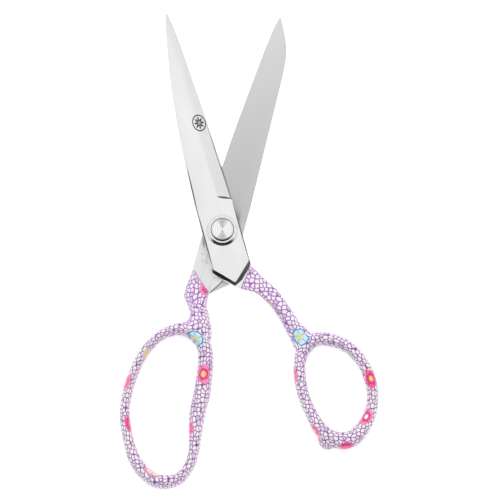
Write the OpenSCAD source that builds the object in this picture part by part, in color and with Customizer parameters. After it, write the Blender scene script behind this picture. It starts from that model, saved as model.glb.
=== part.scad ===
// Tailor's shears with bent, printed handles: two ground blades on one pivot screw.
// +Y runs to the tips, +X to the right, +Z out of the front blade. The origin is on the
// pivot's axis, on the plane that the shears lie on.

/* [Blades] */
// Angle between the blades as modelled
open_angle = 29; // [10:1:60]
// Length from the pivot to the front blade's tip
blade_l = 118; // [95:1:145]
// Width of the plates over the pivot
plate_w = 20.4; // [17:0.1:24.5]
// Thickness of the plates over the pivot
plate_t = 4.6; // [4:0.1:5.6]
// Thickness of the spine at the tip
tip_t = 2.4; // [1.6:0.1:3]
// Distance from the pivot to where the ground edge starts
ricasso_l = 16; // [12:0.5:20]
// Gap between the two inner faces
blade_gap = 0.1; // [0.06:0.02:0.3]
// Height of the stepped bolster over the handle
bolster_h = 2; // [1.2:0.1:2.4]

/* [Handles] */
// Width of the finger bow between the middles of its sides
finger_w = 37; // [31:0.5:45]
// Length of the finger bow between the middles of its ends
finger_l = 79; // [66:0.5:95]
// Width of the thumb bow between the middles of its sides
thumb_w = 35; // [29:0.5:42]
// Length of the thumb bow between the middles of its ends
thumb_l = 53.3; // [44:0.5:64]
// Depth of both bows
bow_depth = 12.5; // [10:0.5:13]
// Gap between the bows when the shears are shut
bow_gap = 0.5; // [0.3:0.1:2]
// Width of the tang inside each handle
tang_w = 5.4; // [4:0.2:6]

/* [Pivot] */
// Diameter of the screw's head
head_d = 12.1; // [10:0.1:14]
// Height of the screw's head
head_t = 2; // [1.4:0.1:3]
// Diameter of the screw's plain shank
shank_d = 7; // [6:0.1:8.4]
// Diameter of the screw's threaded end
thread_d = 5.6; // [4.6:0.1:5.8]
// Diameter of the bevelled collar under the head
collar_d = 16.2; // [14.6:0.1:19]
// Height of the bevelled collar
collar_t = 1.6; // [1.2:0.1:2.4]
// Diameter of the friction washer between the blades
friction_d = 15; // [12:0.5:17]
// Thickness of the friction washer
friction_t = 0.9; // [0.6:0.1:1.4]
// Diameter of the lock nut
nut_d = 13; // [11:0.5:15]
// Height of the lock nut
nut_t = 2.8; // [2.4:0.1:3.6]
// Thickness of the rear washer
washer_t = 0.5; // [0.4:0.1:1]
// Radial clearance of the bores that turn on the screw
run_fit = 0.04; // [0.02:0.01:0.08]
// Axial clearance beside the washers
face_fit = 0.04; // [0.02:0.01:0.08]

/* [Hidden] */

$fn = 96;
FRONT = 1;
REAR = -1;
reach = 3 * blade_l;
half_w = plate_w / 2;

// The stack along the pivot, from the table up
spring_t = 0.35;
spring_rise = 0.35;
spring_z = nut_t + face_fit;
washer_z = spring_z + spring_t + spring_rise;
shear_z = washer_z + washer_t + plate_t + blade_gap / 2;
collar_z = shear_z + blade_gap / 2 + plate_t + face_fit;
head_z = collar_z + collar_t;
shank_end_z = washer_z;
blind_floor = 1;
thread_end_z = blind_floor + 0.3;

// Small details of the pivot's pieces
head_chamfer = 0.9;
collar_top_d = head_d + 0.8;
collar_foot = 0.4;
washer_d = nut_d + 1;
spanner_hole_d = 1.8;
spanner_hole_r = nut_d / 3;
spanner_hole_deep = 0.7;

// Ground blade: [share of the half width, share of the ground length], in each half's own
// frame, with its cutting edge on +X
front_edge = [[0.86, 0], [0.72, 0.31], [0.53, 0.55], [0.31, 0.8], [0.15, 0.94], [0.02, 1]];
front_spine = [[-1.03, 0], [-0.99, 0.24], [-0.87, 0.45], [-0.68, 0.65], [-0.43, 0.82],
    [-0.22, 0.94], [-0.03, 1]];
rear_edge = [[0.94, 0], [0.78, 0.31], [0.57, 0.55], [0.35, 0.78], [0.17, 0.92], [0.02, 0.98]];
rear_spine = [[-1.04, 0], [-0.98, 0.28], [-0.93, 0.53], [-0.87, 0.73], [-0.75, 0.82],
    [-0.49, 0.89], [-0.25, 0.94], [-0.03, 0.98]];
ridge_start = [0.2, 0];
ridge_mid = [-0.04, 0.46];
ridge_end = [-0.42, 0.72];
bevel_foot = 1.6;
tip_foot = 0.6;
land_w = 0.4;
land_h = 0.9;
plunge_run = 1;

// Foot of each plate: right shoulder, nose and left shoulder, then the raised V on it
front_foot = [[0.97, -20.2], [0.15, -31.4], [-0.99, -21.2]];
rear_foot = [[0.97, -21.8], [-0.17, -32.6], [-1.02, -25.4]];
front_v = [[0.86, -18.9], [0.05, -27.2], [-0.03, -27.6], [-0.95, -18.2]];
rear_v = [[0.86, -19.9], [-0.04, -28.4], [-0.2, -29], [-0.98, -22.6]];
v_run_right = 2.1;
v_run_left = 1.4;

// Tangs: points along their middle lines, and the holes that the handles are cast through
front_tang = [[0, -18], [10.6, -31.6], [16.4, -39.2], [19.4, -46.5]];
rear_tang = [[3, -18], [4.2, -35], [1.2, -42], [-0.2, -48]];
tang_inner = 0.55;
tang_t = 1.6;
eye_rim = 0.4;
anchor_d = 2.4;

// Shanks: left edge, right edge, inner and outer face over the shear plane
shank_clear = 0.2;
foot_z = plate_t - bolster_h;
thumb_high = bow_depth - shear_z;
thumb_shank = [
    [across(front_foot[1]), across(front_foot[0]), shank_clear, foot_z],
    [[8.4, -35.2], [14.4, -28.1], shank_clear, foot_z + 1.2],
    [[12.8, -41], [19.6, -35.6], -0.18 * shear_z, foot_z + 1.8],
    [[16.7, -49.3], [24.2, -46.3], -0.65 * shear_z, foot_z + 2],
    [[19, -58.5], [27.3, -55], -0.92 * shear_z, thumb_high],
    [[20.5, -65], [29.8, -58.8], -0.9 * shear_z, thumb_high - 0.3],
    [[21, -70], [32.6, -64], -0.8 * shear_z, thumb_high - 1.2]];
finger_shank = [
    [across(rear_foot[1]), across(rear_foot[0]), shank_clear, foot_z],
    [[-1.8, -35.6], [10.9, -31], shank_clear, foot_z + 1.2],
    [[-2.4, -39.2], [10.9, -36.8], -0.3, 0.65 * shear_z],
    [[-4.3, -42.8], [7, -42], -0.55 * thumb_high, 0.86 * shear_z],
    [[-6.6, -47.3], [5.1, -46.5], -0.9 * thumb_high, 0.95 * shear_z],
    [[-8.3, -51.7], [6.8, -50.4], -0.88 * thumb_high, 0.93 * shear_z],
    [[-9, -56.3], [9.6, -53.5], -0.7 * thumb_high, 0.85 * shear_z]];

// Bows: [share of the width, share of the length, width of the band], round the loop
parting_x = 16.2;
finger_top = -53.4;
thumb_top = -65.8;
finger_bow = [[0, 0.51, 8.6], [0.02, 0.33, 8.8], [0.13, 0.09, 7.8], [0.44, 0, 7], [0.73, 0.06, 5.2],
    [0.92, 0.2, 5.3], [1, 0.39, 5.3], [0.99, 0.59, 5.4], [0.87, 0.75, 5.6], [0.64, 0.92, 6.6],
    [0.33, 1, 7.4], [0.06, 0.97, 6.6], [-0.07, 0.875, 5.6], [-0.09, 0.76, 5.8], [-0.05, 0.65, 7]];
thumb_bow = [[1, 0.49, 6.4], [0.95, 0.31, 6.1], [0.78, 0.12, 6.3], [0.47, 0, 6.8],
    [0.22, 0.03, 7.6], [0.06, 0.18, 6.4], [0, 0.42, 6.4], [0.03, 0.64, 6.3], [0.13, 0.86, 7.4],
    [0.32, 0.99, 8.6], [0.57, 1, 8.6], [0.83, 0.86, 7], [0.97, 0.68, 6.2]];
spur = [0.18, 0.965];
spur_r = 5;
section_sides = 14;
section_square = 0.8;
bow_steps = 5;
shank_steps = 4;
edge_steps = 2;
spine_steps = 4;

// ---- smooth curves ----

function knot(p, i, loop) = loop ? p[(i + len(p)) % len(p)] : p[max(0, min(len(p) - 1, i))];

function on_curve(p, i, t, loop) =
    let (a = knot(p, i - 1, loop), b = knot(p, i, loop), c = knot(p, i + 1, loop),
        d = knot(p, i + 2, loop))
    0.5 * (2 * b + (c - a) * t + (2 * a - 5 * b + 4 * c - d) * t * t
        + (3 * b - a - 3 * c + d) * t * t * t);

function curve(p, steps, loop = false) = concat(
    [for (i = [0 : len(p) - (loop ? 1 : 2)], k = [0 : steps - 1]) on_curve(p, i, k / steps, loop)],
    loop ? [] : [p[len(p) - 1]]);

function reversed(p) = [for (i = [len(p) - 1 : -1 : 0]) p[i]];

// ---- swept bodies ----

function soft(v) = sign(v) * pow(abs(v), section_square);

// One oval ring between the side points a and b, from height low to height high
function ring(a, b, low, high) =
    let (mid = (a + b) / 2, side = (b - a) / 2)
    [for (k = [0 : section_sides - 1]) let (turn = 360 * (k + 0.5) / section_sides)
        [mid.x + side.x * soft(cos(turn)), mid.y + side.y * soft(cos(turn)),
            (low + high) / 2 + (high - low) / 2 * soft(sin(turn))]];

module swept(rings, loop) {
    n = section_sides;
    m = len(rings);
    sides = [for (i = [0 : m - (loop ? 1 : 2)], k = [0 : n - 1], half = [0, 1])
        let (a = i * n + k, b = i * n + (k + 1) % n, c = ((i + 1) % m) * n + (k + 1) % n,
            d = ((i + 1) % m) * n + k)
        half == 0 ? [c, b, a] : [d, c, a]];
    ends = loop ? [] : [[for (k = [0 : n - 1]) k], [for (k = [n - 1 : -1 : 0]) (m - 1) * n + k]];
    polyhedron([for (r = rings) each r], concat(sides, ends));
}

// Puts one half, modelled with its inner face down on the shear plane, where it belongs
module place_half(side) {
    rotate([0, 0, side * open_angle / 2])
        translate([0, 0, shear_z])
        rotate([0, side == FRONT ? 0 : 180, 0])
        children();
}

// ---- blades ----

function at_share(p) = [p[0] * half_w, ricasso_l + p[1] * (blade_l - ricasso_l)];
function lifted(p, z) = [p.x, p.y, z + blade_gap / 2];
function flat_z(share) = plate_t - (plate_t - tip_t) * share;
function across(p) = [p[0] * half_w, p[1]];

// All of space on one side of the plane through a, b and c, on the side that v points to
module beyond(a, b, c, v) {
    w = cross(b - a, c - a);
    n = (w * v < 0 ? -w : w) / norm(w);
    u = (b - a) / norm(b - a);
    t = cross(n, u);
    multmatrix([[u.x, t.x, n.x, a.x], [u.y, t.y, n.y, a.y], [u.z, t.z, n.z, a.z], [0, 0, 0, 1]])
        translate([-reach, -reach, 0])
        cube([2 * reach, 2 * reach, reach]);
}

// What grinding takes off: the long taper, the two bevels and the narrow land at the edge
module grinding(edge) {
    up = [0, 0, 1];
    start = lifted(at_share([0, 0]), plate_t);
    beyond(start, start + [half_w, 0, 0], lifted(at_share([0, 1]), tip_t), up);
    intersection() {
        union() {
            beyond(lifted(at_share(ridge_start), plate_t),
                lifted(at_share(ridge_mid), flat_z(ridge_mid[1])),
                lifted(at_share(edge[0]), bevel_foot), up);
            beyond(lifted(at_share(ridge_mid), flat_z(ridge_mid[1])),
                lifted(at_share(ridge_end), flat_z(ridge_end[1])),
                lifted(at_share([0, 1]), tip_foot), up);
            line = [for (p = curve(edge, edge_steps)) at_share(p)];
            for (i = [0 : len(line) - 2])
                beyond(lifted(line[i], 0), lifted(line[i + 1], 0),
                    lifted(line[i] - [land_w, 0], land_h), up);
        }
        plunge_in = at_share(ridge_start) + [0, 1.7];
        plunge_out = at_share(edge[0]) - [0, 1.7];
        beyond(lifted(plunge_in, plate_t), lifted(plunge_out, plate_t),
            lifted(plunge_out + [0, plunge_run], bevel_foot), [0, 1, 0]);
    }
}

module bar(a, b, w) {
    d = b - a;
    translate(a)
        rotate(atan2(d.y, d.x))
        translate([0, -w / 2])
        square([norm(d), w]);
}

module tang(points) {
    last = len(points) - 1;
    translate([0, 0, tang_inner])
        linear_extrude(tang_t)
        difference() {
            union() {
                for (i = [0 : last - 1]) bar(points[i], points[i + 1], tang_w);
                for (i = [1 : last]) translate(points[i]) circle(d = tang_w + 2 * eye_rim);
            }
            for (i = [2 : last]) translate(points[i]) circle(d = anchor_d);
        }
}

// Flat plate with the whole outline of the blade and its pointed foot
module plate(edge, spine, foot) {
    outline = concat([for (p = curve(edge, spine_steps)) at_share(p)],
        [for (p = reversed(curve(spine, spine_steps))) at_share(p)],
        [for (p = reversed(foot)) across(p)]);
    translate([0, 0, blade_gap / 2])
        linear_extrude(plate_t)
        polygon(outline);
}

// The steep step round the raised V, down to the level of the handle
module bolster_step(v, run_right, run_left) {
    top = plate_t;
    low = foot_z;
    p = [for (q = v) across(q)];
    difference() {
        translate([-reach, -reach, low + blade_gap / 2])
            cube([2 * reach, reach, plate_t]);
        difference() {
            translate([-reach, -reach, 0])
                cube([2 * reach, 2 * reach, 2 * plate_t]);
            beyond(lifted(p[0], top), lifted(p[1], top),
                lifted(p[0] + [run_right, -run_right] * sqrt(0.5), low), [1, -1, 1]);
            beyond(lifted(p[2], top), lifted(p[3], top),
                lifted(p[3] - [run_left, run_left] * sqrt(0.5), low), [-1, -1, 1]);
            beyond(lifted(p[1], top), lifted(p[2], top),
                lifted(p[2] - [0, run_left], low), [0, -1, 1]);
        }
    }
}

module half_blade(edge, spine, foot, v, points) {
    difference() {
        union() {
            difference() {
                plate(edge, spine, foot);
                bolster_step(v, v_run_right, v_run_left);
                grinding(edge);
            }
            tang(points);
        }
        cylinder(h = 3 * plate_t, d = shank_d + 2 * run_fit, center = true);
        translate([0, 0, blade_gap / 2 - plate_t])
            cylinder(h = plate_t + (friction_t - blade_gap) / 2 + face_fit, d = friction_d + 0.4);
    }
}

module front_blade() {
    color("gainsboro")
        place_half(FRONT)
        half_blade(front_edge, front_spine, front_foot, front_v, front_tang);
}

module rear_blade() {
    color("silver")
        place_half(REAR)
        half_blade(rear_edge, rear_spine, rear_foot, rear_v, rear_tang);
}

// ---- handles ----

// Points along the middle of a bow, each with its band's width as third number
function bow_line(shares, side, wide, long, top) =
    let (x0 = side * parting_x + bow_gap / 2 + min([for (s = shares) if (s[0] == 0) s[2]]) / 2)
    [for (s = shares) [x0 + s[0] * wide, top - s[1] * long, s[2]]];

module bow(line, low, high) {
    p = curve(line, bow_steps, true);
    m = len(p);
    rings = [for (i = [0 : m - 1])
        let (a = p[(i + m - 1) % m], b = p[(i + 1) % m], d = [b.x - a.x, b.y - a.y],
            n = [-d.y, d.x] / norm(d) * p[i][2] / 2, c = [p[i].x, p[i].y])
        ring(c - n, c + n, low, high)];
    swept(rings, true);
}

module shank(stations) {
    flat = [for (s = stations) [s[0].x, s[0].y, s[1].x, s[1].y, s[2], s[3]]];
    swept([for (s = curve(flat, shank_steps)) ring([s[0], s[1]], [s[2], s[3]], s[4], s[5])], false);
}

module thumb_handle() {
    line = bow_line(thumb_bow, FRONT, thumb_w, thumb_l, thumb_top);
    mid = bow_depth / 2 - shear_z;
    color("plum")
        place_half(FRONT)
        difference() {
            union() {
                bow(line, -shear_z, bow_depth - shear_z);
                shank(thumb_shank);
                translate([line[6].x + spur[0] * thumb_w, thumb_top - spur[1] * thumb_l, mid])
                    sphere(spur_r, $fn = 48);
            }
            tang(front_tang);
        }
}

module finger_handle() {
    line = bow_line(finger_bow, REAR, finger_w, finger_l, finger_top);
    color("plum")
        place_half(REAR)
        difference() {
            union() {
                bow(line, shear_z - bow_depth, shear_z);
                shank(finger_shank);
            }
            tang(rear_tang);
        }
}

// ---- pivot ----

module pivot_screw() {
    color("white")
        rotate_extrude()
        polygon([[0, thread_end_z], [thread_d / 2, thread_end_z], [thread_d / 2, shank_end_z],
            [shank_d / 2, shank_end_z], [shank_d / 2, head_z], [head_d / 2, head_z],
            [head_d / 2, head_z + head_t - head_chamfer],
            [head_d / 2 - head_chamfer, head_z + head_t], [0, head_z + head_t]]);
}

module collar_washer() {
    inner = shank_d / 2 + run_fit;
    color("whitesmoke")
        rotate_extrude()
        polygon([[inner, collar_z], [collar_d / 2, collar_z], [collar_d / 2, collar_z + collar_foot],
            [collar_top_d / 2, head_z], [inner, head_z]]);
}

module friction_washer() {
    color("ivory")
        translate([0, 0, shear_z - friction_t / 2])
        difference() {
            cylinder(h = friction_t, d = friction_d);
            translate([0, 0, -friction_t])
                cylinder(h = 3 * friction_t, d = shank_d + 2 * run_fit);
        }
}

module rear_washer() {
    color("lightgray")
        translate([0, 0, washer_z])
        difference() {
            cylinder(h = washer_t, d = washer_d);
            translate([0, 0, -washer_t])
                cylinder(h = 3 * washer_t, d = shank_d + 2 * run_fit);
        }
}

module spring_washer() {
    inner = thread_d / 2 + 0.3;
    outer = nut_d / 2 - 0.5;
    color("darkgray")
        rotate_extrude()
        polygon([[inner, spring_z + spring_rise], [outer, spring_z], [outer, spring_z + spring_t],
            [inner, spring_z + spring_rise + spring_t]]);
}

module lock_nut() {
    edge = 0.5;
    color("silver")
        difference() {
            rotate_extrude()
                polygon([[0, 0], [nut_d / 2 - edge, 0], [nut_d / 2, edge], [nut_d / 2, nut_t],
                    [thread_d / 2 + run_fit, nut_t], [thread_d / 2 + run_fit, blind_floor],
                    [0, blind_floor]]);
            for (turn = [0, 180])
                rotate([0, 0, turn])
                    translate([spanner_hole_r, 0, -spanner_hole_deep])
                    cylinder(h = 2 * spanner_hole_deep, d = spanner_hole_d);
        }
}

front_blade();
rear_blade();
thumb_handle();
finger_handle();
pivot_screw();
collar_washer();
friction_washer();
rear_washer();
spring_washer();
lock_nut();
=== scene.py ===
import math
import bpy
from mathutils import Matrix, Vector


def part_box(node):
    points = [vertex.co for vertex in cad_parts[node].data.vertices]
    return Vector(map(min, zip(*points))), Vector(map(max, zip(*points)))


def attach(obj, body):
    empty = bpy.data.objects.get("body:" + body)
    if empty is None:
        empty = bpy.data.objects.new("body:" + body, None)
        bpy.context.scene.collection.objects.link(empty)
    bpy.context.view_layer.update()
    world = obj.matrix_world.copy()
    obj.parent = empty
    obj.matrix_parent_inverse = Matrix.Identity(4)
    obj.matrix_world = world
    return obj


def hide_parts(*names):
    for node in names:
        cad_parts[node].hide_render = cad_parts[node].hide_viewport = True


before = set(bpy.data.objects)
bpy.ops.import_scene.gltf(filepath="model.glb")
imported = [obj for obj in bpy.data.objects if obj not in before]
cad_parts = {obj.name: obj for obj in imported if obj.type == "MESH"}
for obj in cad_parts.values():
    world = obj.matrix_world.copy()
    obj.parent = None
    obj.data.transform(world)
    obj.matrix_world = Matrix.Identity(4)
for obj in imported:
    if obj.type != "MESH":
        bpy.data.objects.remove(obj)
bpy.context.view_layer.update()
MM = 0.001

# ---- Blades ----
# Two stainless blades, each ground from one forging with the plate over the pivot. The outer
# faces are polished and the inner faces satin ground. The cast handles hold their tangs.

BLADE_LEAN = math.radians(14.5)
SHEAR_Z = sum(corner[2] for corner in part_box("friction_washer")) / 2
MERGE = 0.002 * MM
FLAT_WITHIN = math.radians(0.4)
EDGE_BREAK = 0.28 * MM
SHARP_FROM = math.radians(25)
SMOOTH_WITHIN = math.radians(28)
MARK_AT = (2.1 * MM, 57.5 * MM)
MARK_R = 3.5 * MM
MARK_OVAL = 0.78
MARK_PETALS = 8
STEP_LOW = 2.75 * MM
STEP_HIGH = 4.55 * MM
STEP_FROM = -17.3 * MM
TIP_SHADE = 80 * MM
TIP_FADE = 60 * MM
SATIN_BAND = 0.2 * MM
HEEL_FROM = 2 * MM
HEEL_FADE = 16 * MM
HEEL_LINE = (-6.3 * MM, -31.8 * MM)
HEEL_TURN = math.radians(43.6)
# Dark grey of the etched mark, also used for the painted shade and painted reflections on the
# blades
ETCH_AND_SHADE_GREY = 0.035

# Painted shade lines on the front blade, dark at the plunge of the grind, the bolster's foot and
# along the edges, in millimetres across and along it: start, end and width
PLUNGE = ((1.6, 17.6), (9.6, 14.9), 1.3)
BOLSTER_LENS = ((-10.3, -19.2), (-2.4, -26.6), 2.0)
SIDE_SHADE_LINES = [((-9.5, -19.4), (-10.2, 16), 0.8), ((-10.2, 10), (-9.6, 38), 0.7),
    ((9.6, -19.6), (8.55, 15.8), 0.7), ((8.4, 16), (5.6, 58), 0.45)]

# Old scratches on the rear blade's heel, and as the third line a painted shade where the heel runs
# under the front blade: start, end and width in millimetres
SCRATCHES_AND_SHADE = [((-11.2, -11.0), (-9.2, -12.2), 0.4), ((-8.7, -15.1), (-7.1, -16.9), 0.35),
    ((-9.9, -1.0), (-9.3, -9.0), 1.3), ((-10.6, -13.6), (-9.8, -17.0), 0.3)]


def only(piece):
    """Makes the piece the only selected object."""
    bpy.ops.object.select_all(action="DESELECT")
    piece.select_set(True)
    bpy.context.view_layer.objects.active = piece


def copied(node, name):
    """A new piece with the CAD node's surface, its loose triangles joined into clean faces."""
    piece = bpy.data.objects.new(name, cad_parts[node].data.copy())
    piece.data.materials.clear()
    bpy.context.scene.collection.objects.link(piece)
    only(piece)
    bpy.ops.object.mode_set(mode="EDIT")
    bpy.ops.mesh.select_all(action="SELECT")
    bpy.ops.mesh.remove_doubles(threshold=MERGE)
    bpy.ops.mesh.dissolve_limited(angle_limit=FLAT_WITHIN)
    bpy.ops.object.mode_set(mode="OBJECT")
    return piece


def polished(piece, node, edge):
    """Breaks every sharp edge with a fine bevel and puts the piece in the node's place."""
    only(piece)
    bevel = piece.modifiers.new("Broken edges", "BEVEL")
    bevel.width = edge
    bevel.segments = 2
    bevel.limit_method = "ANGLE"
    bevel.angle_limit = SHARP_FROM
    bevel.use_clamp_overlap = True
    bpy.ops.object.modifier_apply(modifier=bevel.name)
    bpy.ops.object.shade_smooth_by_angle(angle=SMOOTH_WITHIN)
    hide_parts(node)


class Wire:
    """A shader socket that Python's arithmetic works on."""

    def __init__(self, tree, socket):
        self.tree, self.socket = tree, socket

    def node(self, kind, inputs, out=0, **settings):
        """Adds a node, makes its settings, then fills or links its sockets."""
        made = self.tree.nodes.new("ShaderNode" + kind)
        for key, value in settings.items():
            setattr(made, key, value)
        for key, value in inputs.items():
            if isinstance(value, Wire):
                self.tree.links.new(value.socket, made.inputs[key])
            else:
                made.inputs[key].default_value = value
        return Wire(self.tree, made.outputs[out])

    def math(self, operation, *others, clamp=False):
        values = {i + 1: v for i, v in enumerate(others)}
        return self.node("Math", {0: self, **values}, operation=operation, use_clamp=clamp)

    def __add__(self, other):
        return self.math("ADD", other)

    __radd__ = __add__

    def __mul__(self, other):
        return self.math("MULTIPLY", other)

    __rmul__ = __mul__

    def __sub__(self, other):
        return self.math("SUBTRACT", other)

    def __rsub__(self, other):
        return self.math("MULTIPLY", -1.0).math("ADD", other)

    def clip(self):
        return self.math("ADD", 0.0, clamp=True)

    def above(self, level, blur):
        """0 below the level and 1 above it, over a band as wide as blur."""
        return ((self - (level - blur / 2)) * (1 / blur)).clip()

    def below(self, level, blur):
        return 1 - self.above(level, blur)

    def axis(self, name):
        return self.node("SeparateXYZ", {0: self}, out="XYZ".index(name))

    def vector(self, operation, other=None, out=0):
        inputs = {0: self} if other is None else {0: self, 1: other}
        return self.node("VectorMath", inputs, out=out, operation=operation)

    def placed(self, at=(0, 0, 0), turn=0.0, scale=(1, 1, 1)):
        """The pattern's coordinates, moved to at, turned about Z and stretched."""
        moved = self.vector("SUBTRACT", Vector(at))
        return moved.node("Mapping", {"Vector": moved, "Rotation": (0, 0, -turn), "Scale": scale})

    def noise(self, scale, detail=3.0, rough=0.5):
        return self.node("TexNoise", {"Vector": self, "Scale": scale, "Detail": detail,
                                      "Roughness": rough})

    def mix(self, first, second):
        """The first colour where this is 0 and the second where it is 1."""
        inputs = {0: self, 6: first, 7: second}
        return self.node("Mix", inputs, out=2, data_type="RGBA")

    def bump(self, distance, strength=1.0):
        return self.node("Bump", {"Height": self, "Distance": distance, "Strength": strength})


def shade(name, draw, **constants):
    """A material whose draw function gets the Object coordinates and returns what varies."""
    material = bpy.data.materials.new(name)
    material.use_nodes = True
    tree = material.node_tree
    shader = tree.nodes["Principled BSDF"]
    for key, value in constants.items():
        shader.inputs[key.replace("_", " ")].default_value = value
    coordinates = tree.nodes.new("ShaderNodeTexCoord")
    for key, wire in draw(Wire(tree, coordinates.outputs["Object"])).items():
        tree.links.new(wire.socket, shader.inputs[key.replace("_", " ")])
    return material


def grey(value, tint=0.0):
    """A grey that leans to blue by tint."""
    return (value * (1 - tint), value, value * (1 + tint), 1)


def rosette(along):
    """The etched mark: a plain oval ring round an eight-petalled rosette."""
    spot = along.placed((*MARK_AT, 0), scale=(1, MARK_OVAL, 1))
    x, y = spot.axis("X"), spot.axis("Y")
    r = (x * x + y * y).math("SQRT") * (1 / MARK_R)
    turn = y.math("ARCTAN2", x)
    ring = r.above(0.86, 0.06) * r.below(1.0, 0.06)
    lobes = (turn * MARK_PETALS).math("COSINE")
    leaf = (lobes * 0.2 + 0.56 - r).above(0.02, 0.08) * r.above(0.2, 0.05)
    return (ring * 1.1 + leaf + r.below(0.11, 0.05)).clip()


def step_reflection_band(along, side):
    """Painted reflection: the steep step round the raised V, painted dark as if it mirrored dark
    surroundings.
    """
    height = (along.axis("Z") - SHEAR_Z) * side
    band = height.above(STEP_LOW, 0.1 * MM) * height.below(STEP_HIGH, 0.1 * MM)
    return band * along.axis("Y").below(STEP_FROM, 0.5 * MM)


def stroke(along, start, end, wide):
    """1 along the straight line from start to end, in millimetres, and 0 away from it."""
    a, b = Vector((*start, 0)) * MM, Vector((*end, 0)) * MM
    spot = along.placed(a, math.atan2(b.y - a.y, b.x - a.x))
    share = spot.axis("X") * (1 / (b - a).length)
    width = (share * (math.pi * 0.93) + 0.2).math("SINE") * (wide * MM / 2)
    off = spot.axis("Y").math("ABSOLUTE")
    inside = share.above(0, 0.02) * share.below(1, 0.02)
    return ((width - off) * (1 / (0.12 * MM)) + 0.5).clip() * inside


def front_steel(place):
    """Mirror polish with fine lengthwise streaks and the etched mark, with a painted dark
    reflection at the step, painted shade lines along the edges and painted shade towards the tip.
    """
    along = place.placed(turn=BLADE_LEAN)
    streaks = along.placed(scale=(1, 0.02, 1)).noise(2600, 4)
    clouds = along.placed(scale=(1, 0.3, 1)).noise(45, 2)
    wear = along.placed(scale=(1, 0.08, 1)).noise(420, 3)
    mark = rosette(along) * place.axis("Z").above(SHEAR_Z + 1 * MM, 0.2 * MM)
    step = step_reflection_band(along, 1)
    # Painted reflection and painted shade: the dark step and a dark lens at the bolster's foot
    step_shade = step + stroke(along, *BOLSTER_LENS)
    sides = sum(stroke(along, *line) for line in SIDE_SHADE_LINES)
    colour = (clouds * 0.9 + streaks * 0.2).clip().mix(grey(0.72, 0.003), grey(0.95, 0.005))
    colour = (along.axis("Y").above(TIP_SHADE, TIP_FADE) * 0.25).mix(colour, grey(0.7))
    # Painted shade along the plunge line, the step and the edges, added to the etched mark's own
    # dark
    dark = mark * 0.95 + stroke(along, *PLUNGE) * 0.9 + step_shade * 0.86 + sides * 0.85
    rough = 0.13 + streaks * 0.08 + wear.above(0.6, 0.2) * 0.05 + (mark + step) * 0.25
    height = streaks * 0.4 - mark * 2
    return {"Base_Color": dark.clip().mix(colour, grey(ETCH_AND_SHADE_GREY)), "Roughness": rough,
            "Normal": height.bump(0.004 * MM, 0.5)}


def rear_steel(place):
    """Satin ground on the face towards the front blade, with a worn heel and painted shade, and
    polished behind with a painted dark reflection on the step.
    """
    along = place.placed(turn=-BLADE_LEAN)
    z, y = place.axis("Z"), along.axis("Y")
    satin = z.above(SHEAR_Z - SATIN_BAND, 0.05 * MM)
    lines = along.placed(turn=0.5, scale=(1, 0.015, 1)).noise(3000, 4)
    clouds = along.noise(60, 3)
    scuff = along.placed(turn=-0.9, scale=(1, 0.12, 1)).noise(260, 4).above(0.62, 0.12)
    heel = y.below(HEEL_FROM, HEEL_FADE)
    # Painted shade: the satin face is darker towards the pivot and lighter towards the tip
    taper_shade = ((y - 15 * MM) * 10 + lines * 0.12 + clouds * 0.2 - 0.15).clip()
    inner = taper_shade.mix(grey(0.575, 0.002), grey(0.75, 0.002))
    # Scratches, and one painted shade line where the front blade covers the heel
    marks = sum(stroke(place, *mark) for mark in SCRATCHES_AND_SHADE)
    root = (lines * 0.5 + clouds * 0.6 - scuff * 0.5).clip().mix(grey(0.66), grey(1.0))
    root = (marks * 0.5).clip().mix(root, grey(0.12))
    face = heel.mix(inner, root)
    # Painted shade: a grey band beyond the heel line where the face slopes away, and a dark line
    # along that edge
    spot = place.placed((*HEEL_LINE, 0), HEEL_TURN)
    off = spot.axis("Y")
    slope_shade = off.below(0, 0.2 * MM)
    face = (slope_shade * 0.7).mix(face, grey(0.52))
    face = (off.above(-0.25 * MM, 0.15 * MM) * off.below(0.2 * MM, 0.15 * MM)).mix(face, grey(0.05))
    outer = clouds.mix(grey(0.79, 0.003), grey(0.91, 0.005))
    # Painted reflection: the step on the polished back is painted dark
    outer = (step_reflection_band(along, -1) * 0.86).mix(outer, grey(ETCH_AND_SHADE_GREY))
    rough = 0.15 + satin * (0.2 + lines * 0.12) + lines * 0.05
    return {"Base_Color": satin.mix(outer, face), "Roughness": rough,
            "Normal": lines.bump(0.005 * MM, 0.6)}


front_blade = copied("front_blade", "front_blade_ground")
polished(front_blade, "front_blade", EDGE_BREAK)
front_blade.data.materials.append(shade("polished_blade", front_steel, Metallic=1.0))
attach(front_blade, "front_half")

rear_blade = copied("rear_blade", "rear_blade_ground")
polished(rear_blade, "rear_blade", EDGE_BREAK)
rear_blade.data.materials.append(shade("satin_blade", rear_steel, Metallic=1.0))
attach(rear_blade, "rear_half")

# ---- Handles ----
# Aluminium bows and shanks, die cast round the blades' tangs and dipped in a printed film: a
# lilac net of small cells with scattered flowers, sealed under clear lacquer.

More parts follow.
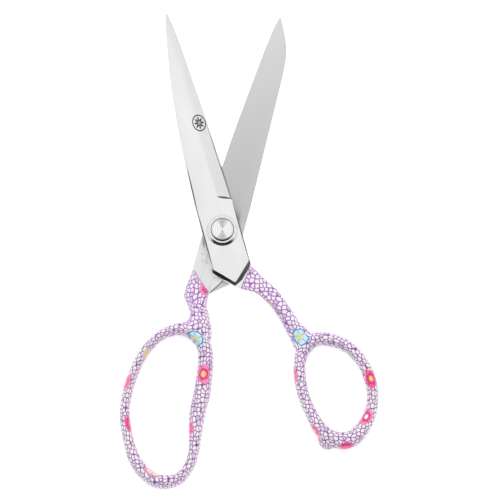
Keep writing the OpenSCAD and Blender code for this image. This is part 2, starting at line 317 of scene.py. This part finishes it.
TANG_INNER = 0.55 * MM
TANG_OUTER = 2.15 * MM
VOXEL = 0.42 * MM
FAIRING = 10
CELL = 2.4 * MM
CELL_SCATTER = 0.7
CELL_BEND = 1.5 * MM
LINE_WIDTH = 0.17
CORNER_FROM = 0.78
CORNER_WIDTH = 0.3
BOWS_FROM = -52 * MM
PURPLE = (0.28, 0.10, 0.42, 1)
MAUVE = (0.13, 0.06, 0.21, 1)
ROSE_INK = (0.42, 0.10, 0.38, 1)
PALE = (0.68, 0.50, 0.76, 1)
MILK = (0.96, 0.93, 0.96, 1)
BLUSH = (0.92, 0.78, 0.89, 1)
WHITE = (0.96, 0.96, 0.96, 1)
YELLOW = (0.95, 0.72, 0.10, 1)
ROSE = (0.90, 0.10, 0.32, 1)
CRIMSON = (0.74, 0.005, 0.16, 1)
PINK = (0.94, 0.26, 0.50, 1)
TEAL = (0.02, 0.32, 0.58, 1)
MIST = (0.72, 0.88, 0.90, 1)
LACQUER = {"Coat_Weight": 0.3, "Coat_Roughness": 0.12}
FLOWER_PETALS = 5

# Flowers: place and radius in millimetres, the colours of petals, ring and heart, and where the
# ring lies from 0 at the heart to 1 at the petals' ends, if not about halfway
THUMB_FLOWERS = [
    ((40.0, -54.6), 4.7, MIST, TEAL, YELLOW, 0.9), ((76.6, -76.0), 4.9, ROSE, CRIMSON, YELLOW),
    ((73.6, -95.4), 4.3, PINK, CRIMSON, WHITE), ((64.5, -113.8), 4.7, ROSE, CRIMSON, ROSE),
    ((45.2, -104.4), 4.0, PINK, CRIMSON, YELLOW), ((33.6, -74.5), 4.6, PINK, ROSE, PINK),
    ((22.6, -39.6), 3.0, PALE, YELLOW, YELLOW)]
FINGER_FLOWERS = [
    ((-9.3, -74.2), 4.9, PINK, CRIMSON, YELLOW), ((-13.6, -56.0), 4.6, MIST, TEAL, YELLOW, 0.9),
    ((-50.6, -78.0), 4.4, PINK, ROSE, PINK), ((-45.2, -99.4), 4.0, ROSE, CRIMSON, ROSE),
    ((-7.4, -29.6), 3.8, PINK, CRIMSON, ROSE), ((-33.6, -122.0), 5.0, MIST, ROSE, YELLOW, 0.9),
    ((-17.2, -102.0), 3.2, PINK, ROSE, PINK), ((-36.6, -64.4), 3.6, PALE, YELLOW, YELLOW)]


def flower(sheet, colour, turn, centre, radius, petal, ring, heart, ring_at=0.52):
    """Prints one five-petalled flower over the colour."""
    away = sheet.vector("SUBTRACT", Vector((*centre, 0)) * MM)
    wobble = sheet.noise(500, 2) * 0.14 - 0.07
    r = away.vector("LENGTH", out=1) * (1 / (radius * MM)) + wobble
    angle = away.axis("Y").math("ARCTAN2", away.axis("X"))
    lobes = (angle * FLOWER_PETALS + turn).math("COSINE")
    body = (lobes * 0.1 + 1 - r).above(0, 0.08)
    veins = lobes.below(-0.75, 0.3) * r.below(0.95, 0.1)
    band = r.above(ring_at - 0.1, 0.06) * r.below(ring_at + 0.1, 0.06)
    blush = r.below(0.55, 0.8) * 0.25
    paint = (veins * 0.5 + blush).clip().mix(petal, ring)
    paint = band.mix(paint, ring)
    paint = r.below(0.27, 0.06).mix(paint, heart)
    return body.mix(colour, paint)


def print_film(flowers):
    """The film's print: pale cells between purple lines, with the flowers over them."""
    def draw(place):
        sheet = place.node("Attribute", {}, out=1, attribute_name="sheet")
        warp = place.node("TexNoise", {"Vector": place, "Scale": 260.0, "Detail": 1.0}, out=1)
        bent = warp.vector("SUBTRACT", Vector((0.5, 0.5, 0.5)))
        bent = bent.node("VectorMath", {0: bent, "Scale": CELL_BEND}, operation="SCALE")
        spot = sheet.vector("ADD", bent)
        net = {"Vector": spot, "Scale": 1 / CELL, "Randomness": CELL_SCATTER}
        flat = {"voronoi_dimensions": "2D"}
        edge = sheet.node("TexVoronoi", net, feature="DISTANCE_TO_EDGE", **flat)
        core = sheet.node("TexVoronoi", net, **flat)
        tone = sheet.node("TexVoronoi", net, out=1, **flat)
        fade = sheet.noise(70, 2)
        corner = (CORNER_FROM - core) * (1 / CORNER_WIDTH)
        line = (edge * (1 / LINE_WIDTH)).math("MINIMUM", corner).clip()
        cell = tone.axis("X").mix(MILK, BLUSH)
        cell = tone.axis("Y").above(0.88, 0.1).mix(cell, PALE)
        ink = place.axis("Y").below(BOWS_FROM, 12 * MM).mix(PURPLE, MAUVE)
        ink = (fade.above(0.4, 0.4) * 0.3).mix(ink, ROSE_INK)
        soft = line.above(0.52, 0.35)
        colour = soft.mix(ink, PALE)
        colour = line.above(0.8, 0.35).mix(colour, cell)
        for i, spec in enumerate(flowers):
            colour = flower(sheet, colour, 1.3 * i, *spec)
        rough = 0.28 + fade * 0.12 + (1 - soft) * 0.06
        height = line * 0.5 + fade * 0.4
        return {"Base_Color": colour, "Roughness": rough, "Normal": height.bump(0.02 * MM, 0.5)}
    return draw


def wrapped(piece):
    """Gives every point its place on the printed sheets, wrapped on from above and below."""
    top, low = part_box("thumb_handle")[1][2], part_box("thumb_handle")[0][2]
    places = []
    for vertex in piece.data.vertices:
        out = Vector((vertex.normal.x, vertex.normal.y))
        down = min(top - vertex.co.z, vertex.co.z - low)
        places += [vertex.co.x + out.x * down, vertex.co.y + out.y * down, 0]
    sheet = piece.data.attributes.new("sheet", "FLOAT_VECTOR", "POINT")
    sheet.data.foreach_set("vector", places)


def cast(node, name, side):
    """The handle without its hidden pocket, with every joint faired as the lacquer leaves it."""
    piece = copied(node, name)
    levels = [SHEAR_Z + side * TANG_INNER, SHEAR_Z + side * TANG_OUTER]
    mesh = piece.data
    inside = [min(abs(v.co.z - level) for level in levels) < MERGE for v in mesh.vertices]
    bpy.ops.object.mode_set(mode="EDIT")
    bpy.ops.mesh.select_mode(type="FACE")
    bpy.ops.object.mode_set(mode="OBJECT")
    for face in mesh.polygons:
        face.select = all(inside[i] for i in face.vertices)
    bpy.ops.object.mode_set(mode="EDIT")
    bpy.ops.mesh.delete(type="FACE")
    bpy.ops.mesh.select_all(action="SELECT")
    bpy.ops.mesh.fill_holes(sides=0)
    bpy.ops.mesh.select_all(action="SELECT")
    bpy.ops.mesh.normals_make_consistent(inside=False)
    bpy.ops.object.mode_set(mode="OBJECT")
    remesh = piece.modifiers.new("Skin", "REMESH")
    remesh.mode = "VOXEL"
    remesh.voxel_size = VOXEL
    bpy.ops.object.modifier_apply(modifier=remesh.name)
    fair = piece.modifiers.new("Fair", "SMOOTH")
    fair.factor = 0.5
    fair.iterations = FAIRING
    bpy.ops.object.modifier_apply(modifier=fair.name)
    bpy.ops.object.shade_smooth()
    wrapped(piece)
    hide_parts(node)
    return piece


thumb_handle = cast("thumb_handle", "thumb_handle_printed", 1)
thumb_handle.data.materials.append(shade("thumb_print", print_film(THUMB_FLOWERS), **LACQUER))
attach(thumb_handle, "front_half")

finger_handle = cast("finger_handle", "finger_handle_printed", -1)
finger_handle.data.materials.append(shade("finger_print", print_film(FINGER_FLOWERS), **LACQUER))
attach(finger_handle, "rear_half")

# ---- Pivot ----
# A turned screw with a spun, chamfered head on a bevelled collar. Behind the rear blade are a
# flat washer, a conical spring washer and a round nut, and a plastic washer parts the blades.

LATHE_PITCH = 0.11 * MM
LATHE_TILT = 0.1
RING_PITCH = 1.15 * MM
HEAD_RIM = 5.62 * MM
HEAD_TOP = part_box("pivot_screw")[1][2]
HEAD_EDGE = HEAD_TOP - 0.1 * MM
COLLAR_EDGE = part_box("collar_washer")[0][2] + 0.2 * MM
TOP_ROUND = 0.8 * MM


def turned_steel(place):
    """Spun steel: fine lathe rings that fan the light, a painted sheen with darker sectors towards
    +Y and -Y, and a painted shade line round the head's rim.
    """
    flat = place.vector("MULTIPLY", Vector((1, 1, 0)))
    r = flat.vector("LENGTH", out=1)
    out = flat.vector("NORMALIZE")
    wave = (r * (2 * math.pi / LATHE_PITCH)).math("SINE") * LATHE_TILT
    chatter = place.noise(700, 3)
    tilt = wave * (0.6 + chatter * 0.8)
    lean = out.node("VectorMath", {0: out, "Scale": tilt}, operation="SCALE")
    normal = place.node("NewGeometry", {}, out=1).vector("ADD", lean).vector("NORMALIZE")
    # Painted sheen: sectors towards +Y and -Y are painted darker, as a spun face's highlight falls
    fan = (out.axis("Y").math("ABSOLUTE") - 0.84 + chatter * 0.12).clip() * 4
    rings = (r * (2 * math.pi / RING_PITCH)).math("SINE") * 0.5 + 0.5
    shine = (1 - fan * 0.8 - rings * 0.2).clip()
    colour = shine.mix(grey(0.42), grey(0.93, 0.003))
    # Painted shade: a dark line round the head's rim
    rim = r.above(HEAD_RIM, 0.15 * MM) * place.axis("Z").above(HEAD_TOP - 1.2 * MM, 0.1 * MM)
    colour = (rim * 0.9).mix(colour, grey(0.04))
    return {"Base_Color": colour, "Roughness": 0.12 + chatter * 0.1, "Normal": normal}


def bright_steel(place):
    """Plain turned and polished steel."""
    chatter = place.noise(500, 4)
    fine = place.placed(scale=(1, 1, 12)).noise(1800, 3)
    return {"Base_Color": chatter.mix(grey(0.84, 0.004), grey(0.95, 0.004)),
            "Roughness": 0.07 + chatter * 0.08 + fine * 0.05, "Normal": fine.bump(0.003 * MM, 0.4)}


def spring_steel(place):
    """Hardened steel, dark blue from the oil bath."""
    chatter = place.noise(600, 4)
    return {"Base_Color": chatter.mix((0.16, 0.17, 0.20, 1), (0.30, 0.31, 0.35, 1)),
            "Roughness": 0.28 + chatter * 0.15, "Normal": chatter.bump(0.01 * MM, 0.4)}


def acetal(place):
    """Hard ivory-white plastic."""
    grain = place.noise(1500, 3)
    return {"Base_Color": grain.mix((0.80, 0.77, 0.69, 1), (0.88, 0.86, 0.80, 1)),
            "Roughness": 0.4 + grain * 0.15, "Normal": grain.bump(0.01 * MM, 0.3)}


def rounded(piece, low, width):
    """Rounds the turned edges above the height."""
    mesh = piece.data
    spots = [v.co for v in mesh.vertices]
    only(piece)
    bpy.ops.object.mode_set(mode="EDIT")
    bpy.ops.mesh.select_mode(type="EDGE")
    bpy.ops.mesh.select_all(action="DESELECT")
    bpy.ops.object.mode_set(mode="OBJECT")
    for edge in mesh.edges:
        a, b = (spots[i] for i in edge.vertices)
        edge.select = min(a.z, b.z) > low and abs(a.xy.length - b.xy.length) < MERGE
    bpy.ops.object.mode_set(mode="EDIT")
    bpy.ops.mesh.bevel(offset=width, segments=6, clamp_overlap=True)
    bpy.ops.object.mode_set(mode="OBJECT")


turned = shade("turned_steel", turned_steel, Metallic=1.0)
bright = shade("bright_steel", bright_steel, Metallic=1.0)
spring = shade("spring", spring_steel, Metallic=1.0)
plastic = shade("acetal", acetal)

# Node, body, material slot, finish, and the width of its broken edges in millimetres
PIVOT_PIECES = [
    ("pivot_screw", "rear_half", "pivot_steel", turned, 0.12),
    ("collar_washer", "rear_half", "pivot_steel", bright, 0.15),
    ("rear_washer", "rear_half", "pivot_steel", bright, 0.06),
    ("spring_washer", "rear_half", "spring_steel", spring, 0.05),
    ("friction_washer", "rear_half", "washer_polymer", plastic, 0.05),
    ("lock_nut", "nut", "pivot_steel", bright, 0.1)]
for node, body, slot_name, finish, edge in PIVOT_PIECES:
    piece = copied(node, node + "_turned")
    if node == "pivot_screw":
        rounded(piece, HEAD_EDGE, TOP_ROUND)
    if node == "collar_washer":
        rounded(piece, COLLAR_EDGE, TOP_ROUND)
    polished(piece, node, edge * MM)
    piece.data.materials.append(finish)
    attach(piece, body)

# ---- Table, light and camera ----
# A white table under a broad soft light, seen from almost straight above through a long lens.
# The room is bright overhead and dark low down on the near side, which the steel mirrors.

TABLE_SIDE = 6
TABLE_GLOW = 0.45
VIEW_WIDTH = 256.41 * MM
VIEW_TILT = math.radians(9)
VIEW_ROLL = math.radians(0.36)
VIEW_DISTANCE = 3
VIEW_CENTRE = Vector((14.2, -9.4, 9.0)) * MM
SENSOR = 36

bpy.ops.object.select_all(action="DESELECT")
bpy.ops.mesh.primitive_plane_add(size=TABLE_SIDE, location=(0, 0, 0))
table = bpy.context.object
table.name = "table"


def table_top(place):
    grain = place.noise(30, 2)
    return {"Base_Color": grain.mix(grey(0.93), grey(0.95)), "Roughness": 0.8 + grain * 0.1}


table.data.materials.append(shade("white_table", table_top, Emission_Color=(1, 1, 1, 1),
                                  Emission_Strength=TABLE_GLOW))


def lamp(name, place, size, power):
    """A round soft lamp that faces the shears and isn't mirrored in the steel."""
    bpy.ops.object.light_add(type="AREA", location=place)
    light = bpy.context.object
    light.name = name
    light.data.shape = "DISK"
    light.data.size = size
    light.data.energy = power
    light.rotation_euler = (-Vector(place)).to_track_quat("-Z", "Y").to_euler()
    light.visible_glossy = False


lamp("softbox", (-0.3, 0.5, 1.7), 1.2, 5)
lamp("fill", (0.8, -0.2, 1.3), 1.2, 2)

# The room: bright above and behind, dark low down on the near side, plain white in the view
world = bpy.data.worlds.new("room")
bpy.context.scene.world = world
world.use_nodes = True
tree = world.node_tree
heading = Wire(tree, tree.nodes.new("ShaderNodeTexCoord").outputs["Generated"])
rise, back = heading.axis("Z"), heading.axis("Y")
near = rise.below(0.68, 0.2) * rise.above(-0.1, 0.1) * (back * -1).above(0.5, 0.3)
skirting = rise.below(0.06, 0.05) * rise.above(-0.06, 0.05)
ceiling = (rise - 0.5).clip() * 0.3 + 0.85 + back * 0.05
glow = ceiling * (1 - near.math("MAXIMUM", skirting) * 0.96)
seen = Wire(tree, tree.nodes.new("ShaderNodeLightPath").outputs["Is Camera Ray"])
glow = seen.mix(glow, (1, 1, 1, 1))
tree.links.new(glow.socket, tree.nodes["Background"].inputs["Color"])
tree.nodes["Background"].inputs["Strength"].default_value = 1.0
bpy.context.scene.view_settings.view_transform = "Standard"

bpy.ops.object.camera_add()
camera = bpy.context.object
camera.name = "camera"
camera.rotation_euler = (VIEW_TILT, 0, VIEW_ROLL)
camera.location = VIEW_CENTRE + camera.rotation_euler.to_matrix() @ Vector((0, 0, VIEW_DISTANCE))
camera.data.sensor_width = SENSOR
camera.data.lens = SENSOR * VIEW_DISTANCE / VIEW_WIDTH
bpy.context.scene.camera = camera
